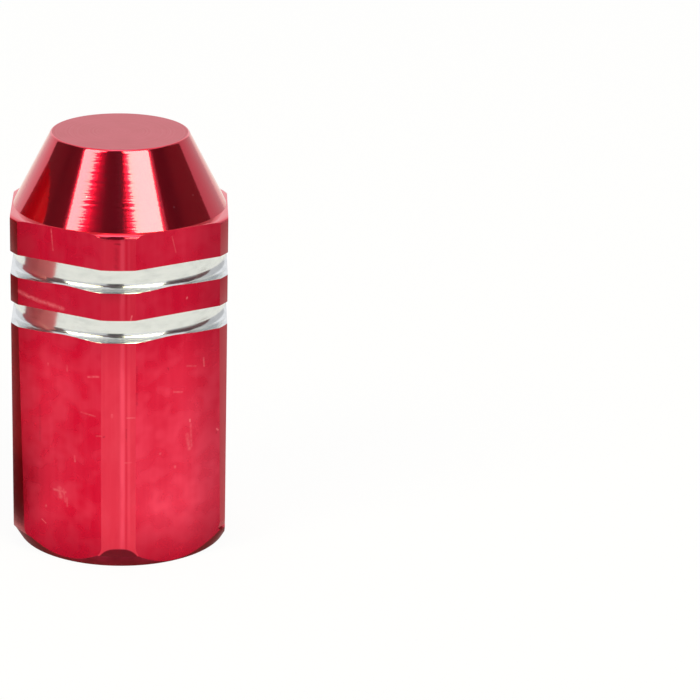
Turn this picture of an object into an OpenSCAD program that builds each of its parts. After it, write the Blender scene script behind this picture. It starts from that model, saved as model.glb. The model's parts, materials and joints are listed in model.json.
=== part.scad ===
// Tyre valve cap, turned from hexagonal aluminium bar, with a rubber ring at the end of its bore.
// Millimetres. The cap stands on its open mouth at z = 0, with its closed, coned end up.
// Two flats face +X and -X, and two corners point along +Y and -Y.

/* [Hexagonal bar] */
// Distance between opposite flats
across_flats = 10; // [9.5:0.1:12]
// Metal turned off the tip of each corner
corner_trim = 0.4; // [0.2:0.05:0.6]
// Overall height, from the mouth to the top face
height = 19.7; // [18:0.1:26]

/* [Coned end] */
// Diameter of the flat top, measured to where its edge would be sharp
top_d = 6.4; // [5:0.1:8]
// Height of the cone, from its base to the top face
cone_h = 3.4; // [2:0.1:4.5]
// Radius of the rounding on the top edge
top_round = 0.12; // [0.05:0.01:0.5]
// Distance of the cone's base circle inside the flats
cone_step = 0.05; // [0.03:0.01:0.2]
// Width of the level ledge that the cone leaves on the corners
ledge_w = 0.22; // [0.05:0.01:0.3]
// Height of the bevel from the ledge to the outside of the corners
ledge_bevel_h = 0.27; // [0.1:0.01:0.5]

/* [Grooves] */
// Number of turned grooves
groove_count = 2; // [1:1:3]
// Width of each groove
groove_w = 1.08; // [0.6:0.02:1.5]
// Depth of each groove below the flats
groove_depth = 0.15; // [0.05:0.01:0.25]
// Radius of the rounding along the lower side of each groove
groove_nose = 0.35; // [0.05:0.05:0.5]
// Width of the band between the cone's base and the first groove
first_band_w = 1.65; // [1:0.05:2]
// Width of the band between one groove and the next
band_w = 1.31; // [0.8:0.01:1.8]

/* [Mouth] */
// Distance of the mouth's outer circle inside the flats
rim_step = 0.08; // [0.03:0.01:0.2]
// Height of the bevel turned on the corners at the mouth
rim_bevel_h = 1; // [0.5:0.1:2]
// Width and depth of the countersink inside the mouth
countersink = 0.6; // [0.3:0.05:0.8]

/* [Bore] */
// Diameter of the bore, at the crests of its thread
bore_d = 7; // [6.8:0.05:7.2]
// Length of the threaded wall
thread_l = 8.5; // [7:0.1:9.5]
// Depth of the recess for the ring, beyond the bore's wall
recess_depth = 0.5; // [0.3:0.05:0.6]
// Point angle of the drill that made the bore
drill_point = 118; // [90:1:140]

/* [Sealing ring] */
// Height of the ring
seal_h = 1.4; // [1:0.1:2]
// Diameter of the hole in the ring
seal_hole_d = 4.6; // [4:0.1:5.4]
// Radius of the rounding on the ring's edges
seal_round = 0.25; // [0.1:0.05:0.4]
// Clearance between the ring and its recess
seal_fit = 0.05; // [0.02:0.01:0.1]

/* [Hidden] */
$fn = 96;
overcut = 1;
round_steps = 6;
flat_r = across_flats / 2;
sharp_corner_r = flat_r / cos(30);
corner_r = sharp_corner_r - corner_trim;
// Heights of the cone's base, the foot of its ledge's bevel and the first groove
cone_base_z = height - cone_h;
cone_base_r = flat_r - cone_step;
ledge_foot_z = cone_base_z - ledge_bevel_h;
groove_top_z = cone_base_z - first_band_w;
groove_r = flat_r - groove_depth;
groove_pitch = groove_w + band_w;
cone_lean = atan((cone_base_r - top_d / 2) / cone_h);
// The bore, from the mouth inwards: countersink, thread, ring recess, drill point
bore_r = bore_d / 2;
recess_z = countersink + thread_l;
recess_h = seal_h + 2 * seal_fit;
recess_r = bore_r + recess_depth;
bore_end_z = recess_z + recess_h;
drill_point_h = bore_r / tan(drill_point / 2);
seal_r = recess_r - seal_fit;

// Points of an arc about [x, y], from one angle to another
function arc(x, y, r, from, to) =
    [for (i = [0:round_steps]) let (a = from + (to - from) * i / round_steps) [x + r * cos(a), y + r * sin(a)]];

// The outline of the turning, from the mouth up to the middle of the top face
module turned_outline() {
    top_edge_x = top_d / 2 - top_round * tan((90 - cone_lean) / 2);
    polygon(concat(
        [[0, 0], [flat_r - rim_step, 0], [corner_r, rim_bevel_h], [corner_r, ledge_foot_z]],
        [[cone_base_r + ledge_w, cone_base_z], [cone_base_r, cone_base_z]],
        arc(top_edge_x, height - top_round, top_round, cone_lean, 90),
        [[0, height]]
    ));
}

module hexagonal_bar() {
    rotate([0, 0, 30])
        translate([0, 0, -overcut])
            cylinder(r = sharp_corner_r, h = height + 2 * overcut, $fn = 6);
}

module grooves() {
    for (i = [0:groove_count - 1])
        translate([0, 0, groove_top_z - groove_w - i * groove_pitch])
            rotate_extrude()
                polygon(concat(
                    arc(groove_r + groove_nose, groove_nose, groove_nose, 180, 270),
                    [[corner_r + overcut, 0], [corner_r + overcut, groove_w], [groove_r, groove_w]]
                ));
}

module bore() {
    translate([0, 0, -overcut])
        cylinder(r = bore_r, h = bore_end_z + overcut);
    // Countersink, carried on below the mouth at the same slope
    translate([0, 0, -overcut])
        cylinder(r1 = bore_r + countersink + overcut, r2 = bore_r, h = countersink + overcut);
    translate([0, 0, recess_z])
        cylinder(r = recess_r, h = recess_h);
    translate([0, 0, bore_end_z])
        cylinder(r1 = bore_r, r2 = 0, h = drill_point_h);
}

module body() {
    color([0.72, 0.06, 0.14])
        difference() {
            intersection() {
                hexagonal_bar();
                rotate_extrude()
                    turned_outline();
            }
            grooves();
            bore();
        }
}

// The rubber ring lies against the end of its recess, with its clearance towards the mouth
module seal() {
    inner_x = seal_hole_d / 2 + seal_round;
    outer_x = seal_r - seal_round;
    low_y = seal_round;
    high_y = seal_h - seal_round;
    color([0.09, 0.09, 0.09])
        translate([0, 0, bore_end_z - seal_h])
            rotate_extrude()
                polygon(concat(
                    arc(inner_x, low_y, seal_round, 180, 270),
                    arc(outer_x, low_y, seal_round, 270, 360),
                    arc(outer_x, high_y, seal_round, 0, 90),
                    arc(inner_x, high_y, seal_round, 90, 180)
                ));
}

body();
seal();
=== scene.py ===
import json
import math

import bpy
from mathutils import Matrix, Vector


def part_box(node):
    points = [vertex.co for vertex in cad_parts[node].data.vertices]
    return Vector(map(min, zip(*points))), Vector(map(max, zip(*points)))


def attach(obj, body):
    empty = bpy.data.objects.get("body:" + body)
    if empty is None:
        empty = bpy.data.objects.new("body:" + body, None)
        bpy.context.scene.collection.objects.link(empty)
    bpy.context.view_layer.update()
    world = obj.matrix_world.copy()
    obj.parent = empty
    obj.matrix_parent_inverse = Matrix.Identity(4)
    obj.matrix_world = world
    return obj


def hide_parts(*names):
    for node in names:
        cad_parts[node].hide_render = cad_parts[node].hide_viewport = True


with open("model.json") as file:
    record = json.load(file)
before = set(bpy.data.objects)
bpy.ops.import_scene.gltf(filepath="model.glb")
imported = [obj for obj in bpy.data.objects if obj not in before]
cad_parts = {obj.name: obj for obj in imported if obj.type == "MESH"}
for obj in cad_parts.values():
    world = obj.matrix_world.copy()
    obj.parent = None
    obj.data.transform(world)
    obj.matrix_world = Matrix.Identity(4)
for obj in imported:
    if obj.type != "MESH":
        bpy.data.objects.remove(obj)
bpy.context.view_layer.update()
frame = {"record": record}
print("frame loaded")

mm = 0.001
near = 0.001  # in mm, how close to a surface a point counts as on it
weldDistance = 0.00005


# Working helpers. Pieces are modelled in millimetres and brought to metres when they are finished.

def startClean():
    if bpy.context.object and bpy.context.object.mode != "OBJECT":
        bpy.ops.object.mode_set(mode="OBJECT")
    bpy.ops.object.select_all(action="DESELECT")


def workOn(piece):
    startClean()
    piece.select_set(True)
    bpy.context.view_layer.objects.active = piece


def edit(piece, selectMode, action):
    workOn(piece)
    bpy.ops.object.mode_set(mode="EDIT")
    bpy.ops.mesh.select_mode(type=selectMode)
    bpy.ops.mesh.select_all(action=action)


def selectEdges(piece, wanted):
    edit(piece, "EDGE", "DESELECT")
    bpy.ops.object.mode_set(mode="OBJECT")
    mesh = piece.data
    sides = {}
    for face in mesh.polygons:
        for key in face.edge_keys:
            sides.setdefault(key, []).append(face.normal)
    for edge in mesh.edges:
        middle = (mesh.vertices[edge.vertices[0]].co + mesh.vertices[edge.vertices[1]].co) / 2
        turn = math.degrees(sides[edge.key][0].angle(sides[edge.key][1]))
        edge.select = wanted(middle, turn)
    bpy.ops.object.mode_set(mode="EDIT")


def applyModifier(piece, kind, **settings):
    workOn(piece)
    modifier = piece.modifiers.new(kind.title(), kind)
    for name, value in settings.items():
        setattr(modifier, name, value)
    bpy.ops.object.modifier_apply(modifier=modifier.name)


# Points of an arc in a section, as (radius, height), from one angle to another in degrees
def arcPoints(x, z, radius, fromAngle, toAngle, steps):
    angles = [math.radians(fromAngle + (toAngle - fromAngle) * i / steps) for i in range(steps + 1)]
    return [(x + radius * math.cos(a), z + radius * math.sin(a)) for a in angles]


# A section is drawn in the XZ plane as one chain of points, each extruded from the last
def drawSection(name, points):
    startClean()
    bpy.ops.mesh.primitive_plane_add(size=1, location=(points[0][0], 0, points[0][1]))
    piece = bpy.context.object
    piece.name = name
    bpy.ops.object.transform_apply(location=True)
    edit(piece, "VERT", "SELECT")
    bpy.ops.mesh.merge(type="CENTER")
    for (x, z), (nextX, nextZ) in zip(points, points[1:]):
        bpy.ops.mesh.extrude_vertices_move(TRANSFORM_OT_translate={"value": (nextX - x, 0, nextZ - z)})
    return piece


def weld(piece):
    edit(piece, "VERT", "SELECT")
    bpy.ops.mesh.remove_doubles(threshold=weldDistance)
    bpy.ops.mesh.normals_make_consistent(inside=False)


def spinSection(piece, steps):
    edit(piece, "VERT", "SELECT")
    bpy.ops.mesh.spin(steps=steps, angle=2 * math.pi, center=(0, 0, 0), axis=(0, 0, 1))
    weld(piece)


def finishPiece(piece, node, smoothAngle):
    workOn(piece)
    piece.scale = (mm, mm, mm)
    bpy.ops.object.transform_apply(location=True, rotation=True, scale=True)
    bpy.ops.object.shade_smooth_by_angle(angle=math.radians(smoothAngle))
    applyModifier(piece, "WEIGHTED_NORMAL", keep_sharp=True, weight=100)
    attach(piece, "root")
    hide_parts(node)


# Material helpers

def srgb(hexColour):
    channels = [int(hexColour[i:i + 2], 16) / 255 for i in (1, 3, 5)]
    linear = [c / 12.92 if c <= 0.04045 else ((c + 0.055) / 1.055) ** 2.4 for c in channels]
    return (*linear, 1)


# Adds a node with its settings and its inputs, as values or sockets to link from, and gives one output
def addNode(tree, kind, inputs=None, give=0, **settings):
    node = tree.nodes.new("ShaderNode" + kind)
    for name, value in settings.items():
        setattr(node, name, value)
    for name, value in (inputs or {}).items():
        if isinstance(value, bpy.types.NodeSocket):
            tree.links.new(value, node.inputs[name])
        else:
            node.inputs[name].default_value = value
    return node.outputs[give]


def newMaterial(name, **settings):
    material = bpy.data.materials.new(name)
    material.use_nodes = True
    shader = material.node_tree.nodes["Principled BSDF"]
    for socket, value in settings.items():
        shader.inputs[socket.replace("_", " ")].default_value = value
    return material, material.node_tree, shader


# The cap body: turned from hexagonal bar, grooved, drilled and tapped. Sizes in mm.
boreMount = next(m for m in frame["record"]["mounts"] if m["name"] == "valve_thread")
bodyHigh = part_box("body")[1] / mm
body = {
    "height": bodyHigh.z,
    "flatRadius": bodyHigh.x,
    "cornerTrim": 0.4,
    "topRadius": 3.2,
    "topRound": 0.12,
    "coneHeight": 3.4,
    "coneStep": 0.05,
    "ledgeWidth": 0.22,
    "shoulderDrop": 0.27,
    "firstBand": 1.65,
    "band": 1.31,
    "grooveWidth": 1.08,
    "grooveDepth": 0.15,
    "grooveCorner": 0.03,
    "grooveNose": 0.35,  # rounding that the grooving tool leaves along the groove's lower side
    "grooveCount": 2,
    "rimStep": 0.08,
    "rimTurn": (5.3, 0.62),  # where the bevel at the mouth starts to round into the corners
    "rimBevelHeight": 1.05,
    "rimCurve": 1.7,  # above 1, the rounding starts gently and ends steep
    "rimShift": 0.1,  # the bevel was turned a little off the cap's middle
    "countersink": 0.6,
    "crestRadius": boreMount["dims"]["r_mm"],
    "threadLength": boreMount["dims"]["length_mm"],
    "drilledRadius": 3.3,  # before tapping; the tap takes the rest
    "recessRadius": 4.0,
    "recessHeight": 1.5,
    "drillPoint": 118,
    "edgeBreak": 0.025,
    "sharpTurn": 12,  # only edges that turn by more than this are broken
    "spinSteps": 192,
    "smoothAngle": 24,
}
# The bar ran out of true, so two corners kept more metal: extra radius above and at the foot, the share of
# the shoulder's drop that is left, and how many degrees to each side a painted shade darkens the colour
fullCorners = (
    {"direction": -60, "extra": 0.2, "footExtra": 0.11, "shareOfDrop": 0.4, "shadeFrom": 20},
    {"direction": 60, "extra": 0.2, "footExtra": 0.26, "shareOfDrop": 0.4, "shadeFrom": 27},
)
thread = {
    "pitch": 25.4 / 32,
    "rootRadius": 3.875,
    "turns": 14,
    "stepsPerTurn": 96,
    "start": -1.2,
    "cutBelow": 0.2,  # the tap is cut off this far outside the mouth and past the thread's end
    "cutBeyond": 0.3,
}

cornerRadius = body["flatRadius"] / math.cos(math.radians(30)) - body["cornerTrim"]
mouthRadius = body["crestRadius"] + body["countersink"]
coneBase = body["height"] - body["coneHeight"]
coneRadius = body["flatRadius"] - body["coneStep"]
grooveEdges = []
for i in range(body["grooveCount"]):
    upper = coneBase - body["firstBand"] - i * (body["grooveWidth"] + body["band"])
    grooveEdges.append((upper, upper - body["grooveWidth"]))


def bodySection(b):
    lean = math.degrees(math.atan((coneRadius - b["topRadius"]) / b["coneHeight"]))
    arcX = b["topRadius"] - b["topRound"] * math.tan(math.radians((90 - lean) / 2))
    holdingRing = 0.06  # a last ring of faces before an edge, which keeps the shading flat up to it
    points = [(0, b["height"]), (arcX / 2, b["height"]), (arcX - holdingRing, b["height"])]
    points += arcPoints(arcX, b["height"] - b["topRound"], b["topRound"], 90, lean, 8)
    edgeX, edgeZ = points[-1]
    # The narrow rings at both ends of the cone hold its shading too
    for share in (0.03, 0.35, 0.7, 0.98, 1):
        points.append((edgeX + (coneRadius - edgeX) * share, edgeZ + (coneBase - edgeZ) * share))
    shoulderX = coneRadius + b["ledgeWidth"]
    shoulderWidth = cornerRadius - shoulderX
    # A quarter of an ellipse, from the ledge down to the corner's outside
    for across, up in arcPoints(0, 0, 1, 90, 0, 12):
        points.append((shoulderX + across * shoulderWidth, coneBase + (up - 1) * b["shoulderDrop"]))
    grooveRadius = b["flatRadius"] - b["grooveDepth"]
    cornerX = grooveRadius + b["grooveCorner"]
    noseX = grooveRadius + b["grooveNose"]
    for upper, lower in grooveEdges:
        points.append((cornerRadius, upper))
        points += arcPoints(cornerX, upper - b["grooveCorner"], b["grooveCorner"], 90, 180, 4)
        points += arcPoints(noseX, lower + b["grooveNose"], b["grooveNose"], 180, 270, 12)
        points.append((cornerRadius, lower))
    recessLow = b["countersink"] + b["threadLength"]
    recessHigh = recessLow + b["recessHeight"]
    drillPointHeight = b["crestRadius"] / math.tan(math.radians(b["drillPoint"] / 2))
    turnX, turnZ = b["rimTurn"]
    for share in (0, 0.25, 0.5, 0.75, 1):
        inward = (cornerRadius - turnX) * share ** b["rimCurve"]
        points.append((cornerRadius - inward, b["rimBevelHeight"] - (b["rimBevelHeight"] - turnZ) * share))
    points += [
        (b["flatRadius"] - b["rimStep"], 0),
        (mouthRadius, 0),
        (b["drilledRadius"], mouthRadius - b["drilledRadius"]),
        (b["drilledRadius"], recessLow),
        (b["recessRadius"], recessLow),
        (b["recessRadius"], recessHigh),
        (b["crestRadius"], recessHigh),
        (0, recessHigh + drillPointHeight),
    ]
    return points


def selectVertices(piece, wanted):
    edit(piece, "VERT", "DESELECT")
    bpy.ops.object.mode_set(mode="OBJECT")
    for vertex in piece.data.vertices:
        vertex.select = wanted(vertex.co)
    bpy.ops.object.mode_set(mode="EDIT")


# Directions are degrees about the axis, with the corner by the camera at zero and positive to the right
def directionOf(point):
    return math.degrees(math.atan2(point.x, -point.y))


# Moves the blank's points near the full corners out to where the extra metal is
def leaveCorners(piece, b):
    turnX, turnZ = b["rimTurn"]
    bevelRise = turnZ / (turnX - b["flatRadius"] + b["rimStep"])
    for corner in fullCorners:
        growth = 1 + corner["extra"] / cornerRadius
        footGrowth = 1 + corner["footExtra"] / cornerRadius

        def byCorner(co):
            outside = math.hypot(co.x, co.y) > coneRadius + b["ledgeWidth"]
            return outside and abs(directionOf(co) - corner["direction"]) < 30

        def onShoulder(co):
            return byCorner(co) and coneBase - b["shoulderDrop"] - near < co.z < coneBase + near

        def onBevelTurn(co):
            return byCorner(co) and turnZ - near < co.z < b["rimBevelHeight"] + near

        def onWall(co):
            atCornerRadius = math.hypot(co.x, co.y) > cornerRadius - near
            return byCorner(co) and atCornerRadius and not onShoulder(co) and not onBevelTurn(co)

        selectVertices(piece, onWall)
        bpy.ops.transform.resize(value=(growth, growth, 1), center_override=(0, 0, 0))
        selectVertices(piece, onShoulder)
        bpy.ops.transform.resize(value=(growth, growth, corner["shareOfDrop"]),
                                 center_override=(0, 0, coneBase))
        selectVertices(piece, onBevelTurn)
        bpy.ops.transform.resize(value=(footGrowth, footGrowth, 1), center_override=(0, 0, 0))
        bpy.ops.transform.translate(value=(0, 0, corner["footExtra"] * bevelRise))


# Moves the bevel at the mouth aside, but not the mouth's own edge
def shiftRim(piece, b):
    def onRim(co):
        outside = math.hypot(co.x, co.y) > mouthRadius + b["rimShift"]
        return outside and co.z < b["rimTurn"][1] + near

    selectVertices(piece, onRim)
    bpy.ops.transform.translate(value=(b["rimShift"], 0, 0))


# One pitch of the thread's outline, swept up a right-hand helix and cut square at both ends
def makeTap(b, t):
    depth = t["rootRadius"] - b["crestRadius"]
    rootFlat = t["pitch"] / 8
    flank = depth * math.tan(math.radians(30))
    crestFlat = t["pitch"] - rootFlat - 2 * flank
    outline = [(b["crestRadius"], t["start"])]
    for radius, rise in ((b["crestRadius"], crestFlat), (t["rootRadius"], flank),
                         (t["rootRadius"], rootFlat), (b["crestRadius"], flank)):
        outline.append((radius, outline[-1][1] + rise))
    tap = drawSection("tap", outline)
    applyModifier(tap, "SCREW", angle=2 * math.pi, screw_offset=t["pitch"], iterations=t["turns"],
                  steps=t["stepsPerTurn"], render_steps=t["stepsPerTurn"], use_merge_vertices=False)
    weld(tap)
    highEnd = b["countersink"] + b["threadLength"] + t["cutBeyond"]
    tapEnds = ((-t["cutBelow"], (0, 0, -1)), (highEnd, (0, 0, 1)))
    for z, outward in tapEnds:
        bpy.ops.mesh.select_all(action="SELECT")
        bpy.ops.mesh.bisect(plane_co=(0, 0, z), plane_no=outward, clear_outer=True, use_fill=True)
    bpy.ops.mesh.select_all(action="SELECT")
    bpy.ops.mesh.normals_make_consistent(inside=False)
    return tap


def millFlats(piece, flatRadius):
    for i in range(6):
        angle = math.radians(60 * i)
        outward = Vector((math.cos(angle), math.sin(angle), 0))
        edit(piece, "VERT", "SELECT")
        bpy.ops.mesh.bisect(plane_co=outward * flatRadius, plane_no=outward, clear_outer=True,
                            use_fill=True)
    weld(piece)


# Breaks the sharp edges on the outside and round the mouth
def breakEdges(piece, b):
    slack = 0.01

    def outerEdge(middle, turn):
        around = math.hypot(middle.x, middle.y)
        onFlats = around > b["flatRadius"] - slack / 2
        onRim = middle.z < slack and around > mouthRadius - slack
        return turn > b["sharpTurn"] and (onFlats or onRim)

    selectEdges(piece, outerEdge)
    bpy.ops.mesh.bevel(offset=b["edgeBreak"], segments=2, affect="EDGES", clamp_overlap=True)


def makeBody(b, t):
    piece = drawSection("cap_body", bodySection(b))
    spinSection(piece, b["spinSteps"])
    shiftRim(piece, b)
    leaveCorners(piece, b)
    print("blank turned,", len(piece.data.polygons), "faces")
    tap = makeTap(b, t)
    applyModifier(piece, "BOOLEAN", object=tap, operation="DIFFERENCE", solver="EXACT")
    bpy.data.objects.remove(tap)
    print("thread tapped,", len(piece.data.polygons), "faces")
    millFlats(piece, b["flatRadius"])
    breakEdges(piece, b)
    startClean()
    print("flats milled and edges broken,", len(piece.data.polygons), "faces")
    return piece


# The machined surface that a face of the body belongs to, by its place and the way it faces
def surfaceOf(face, b):
    x, y, z = face.center
    inside = math.hypot(x, y) < mouthRadius - 0.01
    belowCone = z < coneBase - 1  # the whole bore is
    facesUp = face.normal.z > 0.3
    facesDown = face.normal.z < -0.4
    if inside and belowCone:
        return "bore"
    for upper, lower in grooveEdges:
        if lower - b["edgeBreak"] < z < upper + b["edgeBreak"]:
            return "groove"
    if z > b["height"] - near:
        return "top"
    if z > coneBase - 0.02 or facesUp:
        return "cone"
    if facesDown:
        return "mouth"
    facing = math.degrees(math.atan2(face.normal.y, face.normal.x))
    return "flats" if abs(facing - 60 * round(facing / 60)) < 1 else "corners"


# Parts of a material that several finishes share. Patterns are in mm on Object coordinates.

def objectPlace(tree):
    where = addNode(tree, "TexCoord", give="Object")
    return addNode(tree, "VectorMath", {0: where, "Scale": 1 / mm}, operation="SCALE")


# Soft patches of one size, as a mask that rises from zero at the low level to one at the high level
def patches(tree, where, size, low, high, stretch=(1, 1, 1), detail=2):
    scale = [1 / (size * s) for s in stretch]
    scaled = addNode(tree, "VectorMath", {0: where, 1: scale}, operation="MULTIPLY")
    cloudy = addNode(tree, "TexNoise", {"Vector": scaled, "Scale": 1, "Detail": detail, "Roughness": 0.55})
    return addNode(tree, "MapRange", {"Value": cloudy, "From Min": low, "From Max": high})


# Rings left by a turning tool: noise along one line only, a little uneven round the piece
def toolRings(tree, along, where, spacing, detail=2):
    uneven = addNode(tree, "Math", {0: patches(tree, where, 2.5, 0, 1), 1: spacing, 2: along},
                     operation="MULTIPLY_ADD")
    return addNode(tree, "TexNoise", {"W": uneven, "Scale": 1 / spacing, "Detail": detail,
                                      "Roughness": 0.6}, noise_dimensions="1D")


# Masks laid together, each at its own strength
def together(tree, *masks):
    total = 0
    for mask, strength in masks:
        total = addNode(tree, "Math", {0: mask, 1: strength, 2: total}, operation="MULTIPLY_ADD",
                        use_clamp=True)
    return total


# Lays colours over one another, each by its mask, and gives them to the shader. The Mix node's colour
# sockets are inputs 6 and 7 and output 2.
def layColours(tree, shader, base, *layers):
    colour = srgb(base)
    for mask, hexColour in layers:
        colour = addNode(tree, "Mix", {0: mask, 6: colour, 7: srgb(hexColour)}, give=2, data_type="RGBA")
    tree.links.new(colour, shader.inputs["Base Color"])


# Roughness that follows a mask, from one value to another
def varyRoughness(tree, shader, mask, low, high):
    varied = addNode(tree, "MapRange", {"Value": mask, "To Min": low, "To Max": high})
    tree.links.new(varied, shader.inputs["Roughness"])


def roughen(tree, shader, height, depth, *sockets):
    bump = addNode(tree, "Bump", {"Height": height, "Strength": 1, "Distance": depth * mm})
    for socket in sockets:
        tree.links.new(bump, shader.inputs[socket])


# A point on the hexagon's outside, from its direction and height
def onSide(direction, height):
    flatDirection = 60 * math.floor(direction / 60) + 30
    flatRadius = body["flatRadius"] / math.cos(math.radians(direction - flatDirection))
    extra = max([0] + [c["extra"] for c in fullCorners if abs(direction - c["direction"]) < 30])
    radius = min(flatRadius, cornerRadius + extra)
    a = math.radians(direction)
    return Vector((radius * math.sin(a), -radius * math.cos(a), height))


# How far each point lies inside a thin stroke between two places on the surface, with soft sides
def stroke(tree, where, start, end, halfWidth):
    run = end - start
    offset = addNode(tree, "VectorMath", {0: where, 1: start}, operation="SUBTRACT")
    along = addNode(tree, "VectorMath", {0: offset, 1: run / run.length_squared}, give="Value",
                    operation="DOT_PRODUCT")
    along = addNode(tree, "Math", {0: along, 1: 0}, operation="ADD", use_clamp=True)
    foot = addNode(tree, "VectorMath", {0: run, "Scale": along}, operation="SCALE")
    gap = addNode(tree, "VectorMath", {0: offset, 1: foot}, give="Value", operation="DISTANCE")
    return addNode(tree, "MapRange", {"Value": gap, "From Min": halfWidth, "From Max": halfWidth * 0.1})


# All the marks of a list together, broken up a little by fine noise
def markMask(tree, where, marks):
    total = 0
    for fromDirection, fromHeight, toDirection, toHeight, halfWidth, strength in marks:
        start = onSide(fromDirection, fromHeight)
        end = onSide(toDirection, toHeight)
        mask = stroke(tree, where, start, end, halfWidth)
        weighted = addNode(tree, "Math", {0: mask, 1: strength}, operation="MULTIPLY")
        total = addNode(tree, "Math", {0: weighted, 1: total}, operation="MAXIMUM")
    fine = patches(tree, where, 0.16, 0.36, 0.62)
    broken = addNode(tree, "MapRange", {"Value": fine, "To Min": 0.22, "To Max": 0.66})
    return addNode(tree, "Math", {0: total, 1: broken}, operation="MULTIPLY")


# Nicks and scuffs where the film is thin: direction and height of both ends, half width, strength
paleMarks = (
    (-39.9, 9.62, -39.8, 9.68, 0.06, 0.6),
    (-28.2, 9.5, -28.2, 9.75, 0.06, 0.35),
    (-15.6, 9.42, -9.8, 9.53, 0.07, 0.55),
    (-19.8, 7.63, -11.8, 7.56, 0.06, 0.4),
    (-23.6, 5.12, -23.8, 5.38, 0.06, 0.6),
    (-36.8, 3.5, -29.6, 3.49, 0.09, 0.5),
    (-33.4, 3.6, -32.8, 3.22, 0.16, 0.5),
    (-30.8, 3.6, -29.8, 3.0, 0.06, 0.5),
    (-28.8, 3.2, -28.6, 2.8, 0.06, 0.35),
    (-41.8, 2.54, -41.7, 2.6, 0.06, 0.6),
    (-44.3, 1.86, -41.9, 1.7, 0.045, 0.6),
    (-11.0, 6.6, -8.6, 6.65, 0.05, 0.4),
    (-56.0, 12.92, -50.4, 12.75, 0.15, 0.55),
    (-50.4, 12.75, -46.0, 12.67, 0.13, 0.7),
    (-46.0, 12.67, -30.4, 12.47, 0.15, 0.55),
    (-37.4, 16.2, -36.3, 15.2, 0.05, 0.45),
    (40.4, 6.86, 40.4, 6.93, 0.07, 0.9),
    (38.9, 6.2, 40.1, 5.5, 0.14, 0.4),
    (40.8, 6.7, 41.4, 5.6, 0.08, 0.35),
    (22.3, 5.53, 22.6, 5.55, 0.07, 0.6),
    (31.5, 4.7, 31.5, 4.76, 0.07, 0.65),
    (30.6, 8.46, 35.5, 8.38, 0.06, 0.5),
    (48.3, 9.45, 48.0, 9.85, 0.06, 0.4),
    (38.4, 9.61, 43.7, 9.53, 0.06, 0.3),
    (38.0, 12.9, 38.2, 12.95, 0.06, 0.9),
    (28.9, 16.0, 31.3, 15.2, 0.04, 0.35),
    (55.4, 6.2, 56.0, 6.14, 0.06, 0.7),
    (-3.1, 7.6, -3.1, 7.72, 0.07, 0.5),
    (4.2, 7.56, 8.2, 7.56, 0.05, 0.45),
    (3.3, 5.35, 6.4, 5.36, 0.05, 0.5),
    (6.0, 12.3, 6.6, 12.5, 0.05, 0.9),
)
# Specks and lines where the film is burnt or dirty, in the same form. The line at height 15.93 over the
# corner by the camera is painted shade of a small dark facet.
darkMarks = (
    (-7.2, 6.6, -6.8, 6.64, 0.06, 1.0),
    (26.9, 9.69, 27.3, 9.6, 0.06, 0.7),
    (9.1, 9.99, 9.1, 8.18, 0.09, 0.4),
    (-44.8, 7.55, -45.0, 5.8, 0.09, 0.3),
    (3.9, 7.0, 3.9, 6.4, 0.05, 0.45),
    (55.2, 6.0, 55.3, 6.05, 0.06, 0.6),
    # painted shade of a small facet on the shoulder
    (-1.8, 15.93, 0.8, 15.92, 0.07, 1.0),
    (-1.0, 15.7, -1.0, 14.8, 0.16, 0.45),
)


# Anodic film is clear alumina, so every red finish has a coat over dyed metal; the turned finish's coat has
# alumina's IOR
# The last two colours are painted shade, the last also the colour of burnt or dirty specks
film = {"ior": 1.7, "deep": "#D60632", "pale": "#F84A68", "nick": "#FF929C", "dyed": "#A80028",
        "burnt": "#7A0A20"}


# Nicks in the cone: direction, radius, height and size
coneNicks = (
    (33.8, 4.49, 17.19, 0.07),
    (50.7, 4.35, 17.48, 0.06),
    (-20, 4.2, 17.7, 0.04),
)


# Turned and anodised: a mirror with the tool's fine rings in it, which spread what it mirrors up and down
def turnedRed():
    material, tree, shader = newMaterial(
        "anodised_aluminium_turned", Metallic=1, Roughness=0.11, Anisotropic=0.5, Anisotropic_Rotation=0.25,
        Coat_Weight=0.68, Coat_Roughness=0.05, Coat_IOR=film["ior"])
    where = objectPlace(tree)
    height = addNode(tree, "SeparateXYZ", {0: where}, give="Z")
    nicks = 0
    for direction, radius, z, size in coneNicks:
        a = math.radians(direction)
        spot = Vector((radius * math.sin(a), -radius * math.cos(a), z))
        gap = addNode(tree, "VectorMath", {0: where, 1: spot}, give="Value", operation="DISTANCE")
        nick = addNode(tree, "MapRange", {"Value": gap, "From Min": size, "From Max": size * 0.4})
        nicks = addNode(tree, "Math", {0: nick, 1: nicks}, operation="MAXIMUM")
    paleTone = together(tree, (patches(tree, where, 0.5, 0.35, 0.7), 0.25))
    layColours(tree, shader, "#E00C3A", (paleTone, "#E81640"), (nicks, film["nick"]))
    tree.links.new(addNode(tree, "Tangent", axis="Z", direction_type="RADIAL"), shader.inputs["Tangent"])
    # The tool's feed is finer than this, and is drawn as coarse as it needs to show
    rings = toolRings(tree, height, where, 0.22, detail=3)
    roughen(tree, shader, rings, 0.0024, "Normal", "Coat Normal")
    return material


# Faced and anodised: matt, with fine rings round the middle
def facedRed():
    material, tree, shader = newMaterial(
        "anodised_aluminium_faced", Metallic=1, Coat_Weight=0.35, Coat_Roughness=0.3, Coat_IOR=1.6)
    where = objectPlace(tree)
    level = addNode(tree, "VectorMath", {0: where, 1: (1, 1, 0)}, operation="MULTIPLY")
    radius = addNode(tree, "VectorMath", {0: level}, give="Value", operation="LENGTH")
    rings = toolRings(tree, radius, where, 0.09)
    layColours(tree, shader, "#BE1E3A", (patches(tree, where, 1.2, 0.3, 0.7, detail=3), "#C42C46"))
    varyRoughness(tree, shader, rings, 0.32, 0.46)
    roughen(tree, shader, rings, 0.0015, "Normal", "Coat Normal")
    return material


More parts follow.
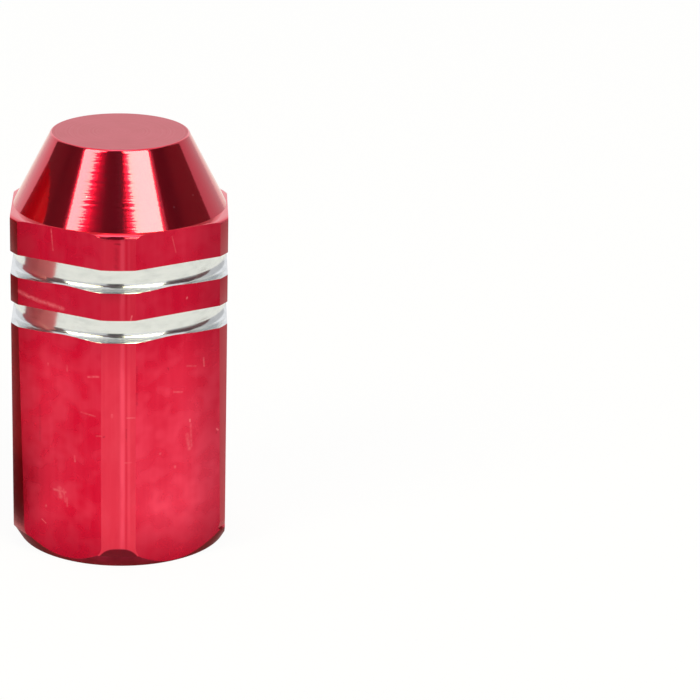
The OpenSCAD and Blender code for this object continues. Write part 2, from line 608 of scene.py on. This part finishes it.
# Direction of each point in degrees, as directionOf gives it
def directionMap(tree, x, y):
    away = addNode(tree, "Math", {0: y, 1: -1}, operation="MULTIPLY")
    turned = addNode(tree, "Math", {0: x, 1: away}, operation="ARCTAN2")
    return addNode(tree, "Math", {0: turned, 1: math.degrees(1)}, operation="MULTIPLY")


# Painted shade: the colour darkens towards the full corners, each at its own strength, and is darkest 3
# degrees from them. It stands in for the dark reflections on those corners.
def sideShade(tree, direction, *strengths):
    shades = []
    for corner, strength in zip(fullCorners, strengths):
        gap = addNode(tree, "Math", {0: direction, 1: corner["direction"]}, operation="SUBTRACT")
        gap = addNode(tree, "Math", {0: gap}, operation="ABSOLUTE")
        shade = addNode(tree, "MapRange", {"Value": gap, "From Min": corner["shadeFrom"], "From Max": 3},
                        interpolation_type="SMOOTHSTEP")
        shades.append((shade, strength))
    return together(tree, *shades)


# Painted shade: the colour darkens upwards over the bands by the grooves, and at the foot, where it stands
# in for the shadowed table that the foot mirrors
def endShade(tree, z, foot):
    upper = addNode(tree, "MapRange", {"Value": z, "From Min": 9.4, "From Max": 12.2})
    lowest = addNode(tree, "MapRange", {"Value": z, "From Min": 2.8, "From Max": 0.2})
    return together(tree, (upper, 0.5), (lowest, foot))


# Drawn bar, anodised: satin red, clouded where it was handled and streaked along the bar, with nicks. It is
# paler towards the lower right, and painted shade darkens it towards the full corners, over the bands by
# the grooves and at the foot
def drawnRed():
    material, tree, shader = newMaterial(
        "anodised_aluminium_drawn", Metallic=1, Coat_Weight=0.1, Coat_Roughness=0.25, Coat_IOR=1.5)
    where = objectPlace(tree)
    x, y, z = addNode(tree, "SeparateXYZ", {0: where}).node.outputs[:3]
    streaks = patches(tree, where, 0.28, 0.35, 0.8, stretch=(1, 1, 14), detail=1)
    clouds = patches(tree, where, 0.95, 0.42, 0.64, stretch=(1, 1, 0.9), detail=1)
    rubbed = patches(tree, where, 2.4, 0.42, 0.64, stretch=(1, 1, 1.4))
    # Painted shade towards the full corners
    sides = sideShade(tree, directionMap(tree, x, y), 0.32, 0.45)
    # Paler towards the lower right of the flats
    lower = addNode(tree, "MapRange", {"Value": z, "From Min": 11, "From Max": 3})
    right = addNode(tree, "MapRange", {"Value": x, "From Min": -1, "From Max": 3})
    paleTone = addNode(tree, "Math", {0: lower, 1: right}, operation="MULTIPLY")
    pale = together(tree, (clouds, 0.26), (rubbed, 0.2), (streaks, 0.12), (right, 0.03), (paleTone, 0.42))
    # Painted shade over the upper bands and at the foot
    ends = endShade(tree, z, 0.85)
    layColours(tree, shader, film["deep"], (pale, film["pale"]), (ends, film["dyed"]),
               (sides, film["burnt"]), (markMask(tree, where, darkMarks), film["burnt"]),
               (markMask(tree, where, paleMarks), film["nick"]))
    varyRoughness(tree, shader, clouds, 0.26, 0.36)
    roughen(tree, shader, streaks, 0.0012, "Normal")
    return material


# What sets the corners apart from the flats, most of it on the corner by the camera
cornerLook = {
    "lines": ((2.0, 1.1), (5.2, 0.6), (3.75, 0.4)),  # two painted highlights and one scored line: direction and half width
    "archHeight": 1.0,  # of the painted shade's arch at the corner's foot
    "archEdge": 0.07,  # height over which it fades out
    "archFall": 0.00047,  # mm that the arch drops per cubed degree from the corner's middle
    "pale": "#F04A62",
    "scored": "#D81838",
    "rubbed": "#F8506C",
    "burnt": "#6E0E20",
}


# Corners turned to a true diameter before the anodising: the one by the camera is paler, with painted
# highlight lines on it
def cornerRed():
    material, tree, shader = newMaterial(
        "anodised_aluminium_corner", Metallic=1, Coat_Weight=0.15, Coat_Roughness=0.25, Coat_IOR=1.5)
    where = objectPlace(tree)
    x, y, z = addNode(tree, "SeparateXYZ", {0: where}).node.outputs[:3]
    direction = directionMap(tree, x, y)
    turned = addNode(tree, "Math", {0: direction}, operation="ABSOLUTE")
    # The corner by the camera ends halfway to the next one
    front = addNode(tree, "MapRange", {"Value": turned, "From Min": 35, "From Max": 25})
    # Painted highlights: the two bright lines stand in for the key box that this corner mirrors; the third
    # is a scored line
    lines = []
    for at, halfWidth in cornerLook["lines"]:
        gap = addNode(tree, "Math", {0: direction, 1: at}, operation="SUBTRACT")
        gap = addNode(tree, "Math", {0: gap}, operation="ABSOLUTE")
        lines.append(addNode(tree, "MapRange", {"Value": gap, "From Min": halfWidth * 1.5,
                                                "From Max": halfWidth * 0.4}))
    wideLine, narrowLine, scoreLine = lines
    uneven = patches(tree, where, 0.6, 0.2, 0.55, stretch=(1, 1, 4))
    rubbed = together(tree, (wideLine, 0.9), (narrowLine, 0.35))
    rubbed = addNode(tree, "Math", {0: rubbed, 1: uneven}, operation="MULTIPLY")
    scored = together(tree, (scoreLine, 0.5))
    streaks = patches(tree, where, 0.2, 0.45, 0.75, stretch=(1, 1, 25), detail=3)
    clouds = patches(tree, where, 1.0, 0.35, 0.65, stretch=(1, 1, 2), detail=3)
    lower = addNode(tree, "MapRange", {"Value": z, "From Min": 12.5, "From Max": 9})
    lowest = addNode(tree, "MapRange", {"Value": z, "From Min": 9, "From Max": 1})
    pale = together(tree, (clouds, 0.2), (streaks, 0.12), (front, 0.24), (lower, 0.15), (lowest, 0.1))
    # Painted shade: below a line that arches over the middle of the corner, the colour is dark as on the
    # bevel
    wrapped = addNode(tree, "Math", {0: direction, 1: 30, 2: -30}, operation="WRAP")
    wrapped = addNode(tree, "Math", {0: wrapped}, operation="ABSOLUTE")
    fall = addNode(tree, "Math", {0: wrapped, 1: 3}, operation="POWER")
    arch = addNode(tree, "Math", {0: fall, 1: cornerLook["archFall"], 2: z}, operation="MULTIPLY_ADD")
    archTop = cornerLook["archHeight"] + cornerLook["archEdge"]
    burnt = addNode(tree, "MapRange", {"Value": arch, "From Min": archTop,
                                       "From Max": cornerLook["archHeight"], "To Max": front})
    # Painted shade over the upper bands and at the foot
    ends = endShade(tree, z, 0.3)
    # Painted shade towards the full corners
    sides = sideShade(tree, direction, 0.72, 0.58)
    layColours(tree, shader, film["deep"], (pale, cornerLook["pale"]), (scored, cornerLook["scored"]),
               (rubbed, cornerLook["rubbed"]), (ends, film["dyed"]), (sides, film["burnt"]),
               (burnt, cornerLook["burnt"]), (markMask(tree, where, darkMarks), film["burnt"]),
               (markMask(tree, where, paleMarks), film["nick"]))
    varyRoughness(tree, shader, clouds, 0.28, 0.4)
    roughen(tree, shader, toolRings(tree, z, where, 0.12), 0.0015, "Normal")
    return material


# Cut bright after the anodising: bare metal with fine rings, a mirror that is hardly blurred
def bareGroove():
    material, tree, shader = newMaterial(
        "bare_aluminium_turned", Metallic=1, Roughness=0.16, Anisotropic=0.7, Anisotropic_Rotation=0.25)
    where = objectPlace(tree)
    height = addNode(tree, "SeparateXYZ", {0: where}, give="Z")
    clouds = patches(tree, where, 0.9, 0.45, 0.75, stretch=(1, 1, 0.4), detail=3)
    layColours(tree, shader, "#DEE1E4", (clouds, "#CED2D6"))
    tree.links.new(addNode(tree, "Tangent", axis="Z", direction_type="RADIAL"), shader.inputs["Tangent"])
    roughen(tree, shader, toolRings(tree, height, where, 0.09), 0.0014, "Normal")
    return material


# The bevel at the mouth: dark red and dull, the dark red being painted shade for the shadowed table it
# mirrors
def mouthRed():
    material, tree, shader = newMaterial(
        "anodised_aluminium_bevel", Metallic=1, Roughness=0.35, Coat_Weight=0.14, Coat_Roughness=0.3,
        Coat_IOR=1.5, Specular_Tint=srgb("#B47078"))
    where = objectPlace(tree)
    height = addNode(tree, "SeparateXYZ", {0: where}, give="Z")
    # Painted shade: the bevel's dark red stands in for the shadowed table that it mirrors
    layColours(tree, shader, "#741228", (patches(tree, where, 0.6, 0.35, 0.7, detail=3), "#8A1C34"))
    roughen(tree, shader, toolRings(tree, height, where, 0.1), 0.002, "Normal")
    return material


# Tapped bore: the same film, duller, with the tap's chatter on the flanks
def boreRed():
    material, tree, shader = newMaterial(
        "anodised_aluminium_tapped", Metallic=1, Coat_Weight=0.5, Coat_Roughness=0.25, Coat_IOR=1.5)
    where = objectPlace(tree)
    chatter = patches(tree, where, 0.15, 0.3, 0.7, stretch=(1, 1, 0.5), detail=3)
    layColours(tree, shader, "#A80E2A", (chatter, "#CC2440"))
    varyRoughness(tree, shader, chatter, 0.25, 0.45)
    roughen(tree, shader, chatter, 0.002, "Normal")
    return material


finishes = {
    "cone": turnedRed,
    "top": facedRed,
    "flats": drawnRed,
    "corners": cornerRed,
    "groove": bareGroove,
    "mouth": mouthRed,
    "bore": boreRed,
}


def dressBody(piece, b):
    order = list(finishes)
    for name in order:
        piece.data.materials.append(finishes[name]())
    for face in piece.data.polygons:
        face.material_index = order.index(surfaceOf(face, b))


capBody = makeBody(body, thread)
dressBody(capBody, body)
finishPiece(capBody, "body", body["smoothAngle"])
print("cap body done")

# The sealing ring: moulded rubber. Sizes in mm.
sealLow, sealHigh = (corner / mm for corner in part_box("seal"))
ring = {
    "outerRadius": sealHigh.x,
    "holeRadius": 2.3,
    "low": sealLow.z,
    "high": sealHigh.z,
    "round": 0.25,
    "spinSteps": 96,
    "smoothAngle": 40,
}


def makeRing(r):
    innerX = r["holeRadius"] + r["round"]
    outerX = r["outerRadius"] - r["round"]
    lowZ = r["low"] + r["round"]
    highZ = r["high"] - r["round"]
    points = arcPoints(innerX, lowZ, r["round"], 180, 270, 6)
    points += arcPoints(outerX, lowZ, r["round"], 270, 360, 6)
    points += arcPoints(outerX, highZ, r["round"], 0, 90, 6)
    points += arcPoints(innerX, highZ, r["round"], 90, 180, 6)
    piece = drawSection("seal_ring", points + points[:1])
    spinSection(piece, r["spinSteps"])
    startClean()
    return piece


# Moulded nitrile rubber: black and matt, with a faint bloom
def mouldedRubber():
    material, tree, shader = newMaterial("nitrile_rubber_moulded", Coat_Weight=0)
    where = objectPlace(tree)
    bloom = patches(tree, where, 0.8, 0.35, 0.75, detail=4)
    layColours(tree, shader, "#161616", (bloom, "#2C2B2A"))
    varyRoughness(tree, shader, bloom, 0.5, 0.7)
    roughen(tree, shader, patches(tree, where, 0.06, 0, 1), 0.004, "Normal")
    return material


sealRing = makeRing(ring)
sealRing.data.materials.append(mouldedRubber())
finishPiece(sealRing, "seal", ring["smoothAngle"])
print("sealing ring done")

# The studio: white table, cloths hung round it, three soft boxes, and screens in front of the boxes. Only
# the table is seen directly. Directions are degrees from the camera, positive to its right; lengths in mm.
studio = {
    "tableSize": 4000,
    "tableColour": "#F0F2F6",
    "tableGlowCamera": 0.94,
    "tableGlowReflected": 0.46,
    "roomLight": 0.45,
    "clothDistance": 800,
    "clothHeight": 990,
    "clothColour": "#745C68",
    "boxDistance": 700,
    "capHeight": 17,  # the screens' elevations are seen from this height, where the cone mirrors them
}
# Each soft box covers a span of directions and one of elevations
softBoxes = (
    {"name": "key_box", "from": 2, "to": 52, "low": 20, "high": 50, "radiance": 13, "colour": "#FFF9C2"},
    {"name": "fill_box", "from": -64.1, "to": -28, "low": 20, "high": 50, "radiance": 10,
     "colour": "#FFF8CA"},
    {"name": "top_box", "from": -20, "to": 20, "low": 75, "high": 105, "radiance": 2, "colour": "#FFFFFF"},
)
# Screens that stand upright, with the glow of the light that shines through them. Those named edge make the
# soft boxes' outer sides fade.
uprightScreens = (
    {"name": "low_left", "distance": 450, "from": -63.3, "to": -14, "low": 0, "high": 26, "glow": 0.75},
    {"name": "low_middle", "distance": 450, "from": -14, "to": 4, "low": 0, "high": 28, "glow": 0.08},
    {"name": "high_middle", "distance": 450, "from": -16, "to": 6, "low": 41, "high": 70, "glow": 0.08},
    {"name": "low_right", "distance": 450, "from": 4, "to": 51, "low": 0, "high": 28, "glow": 1.0},
    {"name": "low_far", "distance": 450, "from": 51, "to": 92, "low": 0, "high": 10, "glow": 0.4},
    {"name": "edge_right", "distance": 455, "from": 50.5, "to": 56, "low": 22, "high": 46, "glow": 0.5},
    {"name": "edge_left", "distance": 455, "from": -66.5, "to": -63, "low": 26, "high": 46, "glow": 0.4},
)
# Screens that lean in between the soft boxes. They overlap, so that the boxes fade towards the dark middle.
leaningScreens = (
    {"name": "fade_outer", "distance": 446, "left": -42.5, "right": 14.5, "glow": 0.4},
    {"name": "fade_inner", "distance": 442, "left": -42, "right": 9.5, "glow": 0.13},
    {"name": "dark_flag", "distance": 438, "left": -39, "right": -2, "glow": 0},
)
# The leaning screens' sides pass the directions above at these elevations, and rise with this slope inwards
leaning = {"leftAt": 34.9, "rightAt": 37.5, "slope": 0.45, "low": 27, "high": 41}
# Cloths from the table up, dark ones and paper that light shines through
cloths = (
    {"name": "dark_cloth", "from": -123, "to": 113.5, "glow": 0},
    {"name": "grey_cloth_right", "from": 113.5, "to": 150, "glow": 0.6},
    {"name": "grey_cloth_left", "from": 210, "to": 237, "glow": 0.8},
)
# Red cards close by on the left, each a cone standing upright
redCards = (
    # The foot card's dark red is painted shade, for a contact shadow that the left corner mirrors at its
    # foot
    {"name": "foot_card", "direction": -86.5, "distance": 14.5, "low": 0, "high": 3, "lowRadius": 7.1,
     "highRadius": 6.2, "colour": "#6E1222"},
    {"name": "low_card", "direction": -86.5, "distance": 14.5, "low": 0, "high": 16.5, "lowRadius": 6.2,
     "highRadius": 5.4, "colour": "#C05C6A"},
    {"name": "high_card", "direction": -94, "distance": 14.5, "low": 16.5, "high": 20.5, "lowRadius": 4.6,
     "highRadius": 4.0, "colour": "#AA0030"},
)
cameraView = {
    "distance": 149.48,
    "height": 10,  # of the point that the distance is measured to
    "elevation": 19.106,
    "swing": 0.874,
    "yaw": 3.542,
    "pitch": 19.423,
    "roll": 1.459,
    "lens": 162.38,
    "sensor": 36,
}


# A point of the studio, from its direction and distance, with the camera's side as zero
def studioPoint(direction, elevation, distance):
    a = math.radians(direction + cameraView["swing"])
    e = math.radians(elevation)
    return Vector((math.cos(e) * math.sin(a), -math.cos(e) * math.cos(a), math.sin(e))) * distance * mm


# The table glows a little, so that it stays white in the picture and in what the cap mirrors
def layTable(s):
    startClean()
    bpy.ops.mesh.primitive_plane_add(size=s["tableSize"] * mm)
    table = bpy.context.object
    table.name = "table"
    material, tree, shader = newMaterial("table_paper", Roughness=0.9, Base_Color=srgb(s["tableColour"]),
                                         Specular_IOR_Level=0)
    path = addNode(tree, "LightPath").node.outputs
    seen = addNode(tree, "Math", {0: path["Is Camera Ray"], 1: s["tableGlowCamera"]}, operation="MULTIPLY")
    mirrored = addNode(tree, "Math", {0: path["Is Glossy Ray"], 1: path["Is Transmission Ray"]},
                       operation="MAXIMUM")
    share = addNode(tree, "Math", {0: mirrored, 1: s["tableGlowReflected"], 2: seen},
                    operation="MULTIPLY_ADD")
    glow = addNode(tree, "Emission", {"Color": (1, 1, 1, 1), "Strength": 1})
    mix = addNode(tree, "MixShader", {0: share, 1: shader.outputs[0], 2: glow})
    tree.links.new(mix, tree.nodes["Material Output"].inputs["Surface"])
    table.data.materials.append(material)


# The room is white to the eye and in reflections, and lights the matt surfaces less
def lightRoom(s):
    world = bpy.data.worlds.new("white_room")
    bpy.context.scene.world = world
    world.use_nodes = True
    tree = world.node_tree
    path = addNode(tree, "LightPath").node.outputs
    mirrored = addNode(tree, "Math", {0: path["Is Glossy Ray"], 1: path["Is Transmission Ray"]},
                       operation="MAXIMUM")
    seen = addNode(tree, "Math", {0: mirrored, 1: path["Is Camera Ray"]}, operation="MAXIMUM")
    strength = addNode(tree, "MapRange", {"Value": seen, "To Min": s["roomLight"], "To Max": 1})
    background = tree.nodes["Background"]
    background.inputs["Color"].default_value = (1, 1, 1, 1)
    tree.links.new(strength, background.inputs["Strength"])


# Cloth or paper hung round part of the table, out of the camera's sight
def hangCloth(cloth, s):
    startClean()
    bpy.ops.mesh.primitive_plane_add(size=mm, location=studioPoint(cloth["from"], 0, s["clothDistance"]))
    piece = bpy.context.object
    piece.name = cloth["name"]
    bpy.ops.object.transform_apply(location=True)
    edit(piece, "VERT", "SELECT")
    bpy.ops.mesh.merge(type="CENTER")
    bpy.ops.mesh.extrude_vertices_move(TRANSFORM_OT_translate={"value": (0, 0, s["clothHeight"] * mm)})
    bpy.ops.mesh.select_all(action="SELECT")
    bpy.ops.mesh.spin(steps=64, angle=-math.radians(cloth["to"] - cloth["from"]), center=(0, 0, 0),
                      axis=(0, 0, 1))
    startClean()
    piece.data.materials.append(screenMaterial(cloth["glow"]))
    piece.visible_camera = False


# A lamp that fills its span, seen from the cap. One overhead keeps half the width that its span gives.
def setSoftBox(box, s):
    middle = (box["from"] + box["to"]) / 2
    elevation = (box["low"] + box["high"]) / 2
    distance = s["boxDistance"]
    startClean()
    bpy.ops.object.light_add(type="AREA", location=studioPoint(middle, elevation, distance))
    lamp = bpy.context.object
    lamp.name = box["name"]
    lamp.rotation_euler = (-lamp.location).to_track_quat("-Z", "Y").to_euler()
    around = distance * mm * max(math.cos(math.radians(elevation)), 0.5)
    width = 2 * around * math.tan(math.radians((box["to"] - box["from"]) / 2))
    height = 2 * distance * mm * math.tan(math.radians((box["high"] - box["low"]) / 2))
    lamp.data.shape = "RECTANGLE"
    lamp.data.size = width
    lamp.data.size_y = height
    lamp.data.energy = box["radiance"] * math.pi * width * height
    lamp.data.color = srgb(box["colour"])[:3]
    lamp.visible_camera = False


# Paper that light shines through, or dark wool where there is no glow
def screenMaterial(glow):
    if not glow:
        return darkCloth
    return newMaterial("diffusion_paper", Roughness=0.9, Specular_IOR_Level=0, Base_Color=srgb("#202020"),
                       Emission_Color=srgb("#FFFFFF"), Emission_Strength=glow)[0]


# A screen bent round the cap, between two elevations and, at each of them, two directions
def hangScreen(screen, low, high, lowSides, highSides):
    startClean()
    bpy.ops.mesh.primitive_grid_add(x_subdivisions=12, y_subdivisions=4, size=1)
    piece = bpy.context.object
    piece.name = screen["name"]
    for vertex in piece.data.vertices:
        across = vertex.co.x + 0.5
        up = vertex.co.y + 0.5
        sides = [start + (end - start) * up for start, end in zip(lowSides, highSides)]
        elevation = low + (high - low) * up
        slant = screen["distance"] / math.cos(math.radians(elevation))
        place = studioPoint(sides[0] + (sides[1] - sides[0]) * across, elevation, slant)
        vertex.co = place + Vector((0, 0, studio["capHeight"] * mm))
    piece.data.materials.append(screenMaterial(screen["glow"]))
    piece.visible_camera = False


def hangUprightScreen(screen):
    sides = (screen["from"], screen["to"])
    hangScreen(screen, screen["low"], screen["high"], sides, sides)


def hangLeaningScreen(screen):
    sides = []
    for level in (leaning["low"], leaning["high"]):
        sides.append((screen["left"] + (level - leaning["leftAt"]) / leaning["slope"],
                      screen["right"] - (level - leaning["rightAt"]) / leaning["slope"]))
    hangScreen(screen, leaning["low"], leaning["high"], *sides)


# A card is seen only in what the cap mirrors
def standCard(c):
    startClean()
    middle = studioPoint(c["direction"], 0, c["distance"]) + Vector((0, 0, (c["low"] + c["high"]) / 2 * mm))
    bpy.ops.mesh.primitive_cone_add(vertices=48, radius1=c["lowRadius"] * mm, radius2=c["highRadius"] * mm,
                                    depth=(c["high"] - c["low"]) * mm, location=middle)
    card = bpy.context.object
    card.name = c["name"]
    card.data.materials.append(newMaterial("red_paper", Roughness=0.5, Base_Color=srgb(c["colour"]))[0])
    card.visible_camera = False
    card.visible_shadow = False
    card.visible_diffuse = False


def placeCamera(v):
    startClean()
    location = studioPoint(0, v["elevation"], v["distance"]) + Vector((0, 0, v["height"] * mm))
    bpy.ops.object.camera_add()
    camera = bpy.context.object
    turn = (Matrix.Rotation(-math.radians(v["yaw"]), 4, "Z")
            @ Matrix.Rotation(math.radians(90 - v["pitch"]), 4, "X")
            @ Matrix.Rotation(math.radians(v["roll"]), 4, "Z"))
    camera.matrix_world = Matrix.Translation(location) @ turn
    camera.data.lens = v["lens"]
    camera.data.sensor_width = v["sensor"]
    camera.data.clip_start = 0.01
    bpy.context.scene.camera = camera


layTable(studio)
lightRoom(studio)
darkCloth = newMaterial("wool_cloth_dark", Roughness=0.9, Specular_IOR_Level=0,
                        Base_Color=srgb(studio["clothColour"]))[0]
for cloth in cloths:
    hangCloth(cloth, studio)
for box in softBoxes:
    setSoftBox(box, studio)
for screen in uprightScreens:
    hangUprightScreen(screen)
for screen in leaningScreens:
    hangLeaningScreen(screen)
for card in redCards:
    standCard(card)
placeCamera(cameraView)
bpy.context.scene.view_settings.view_transform = "Standard"
print("studio set")
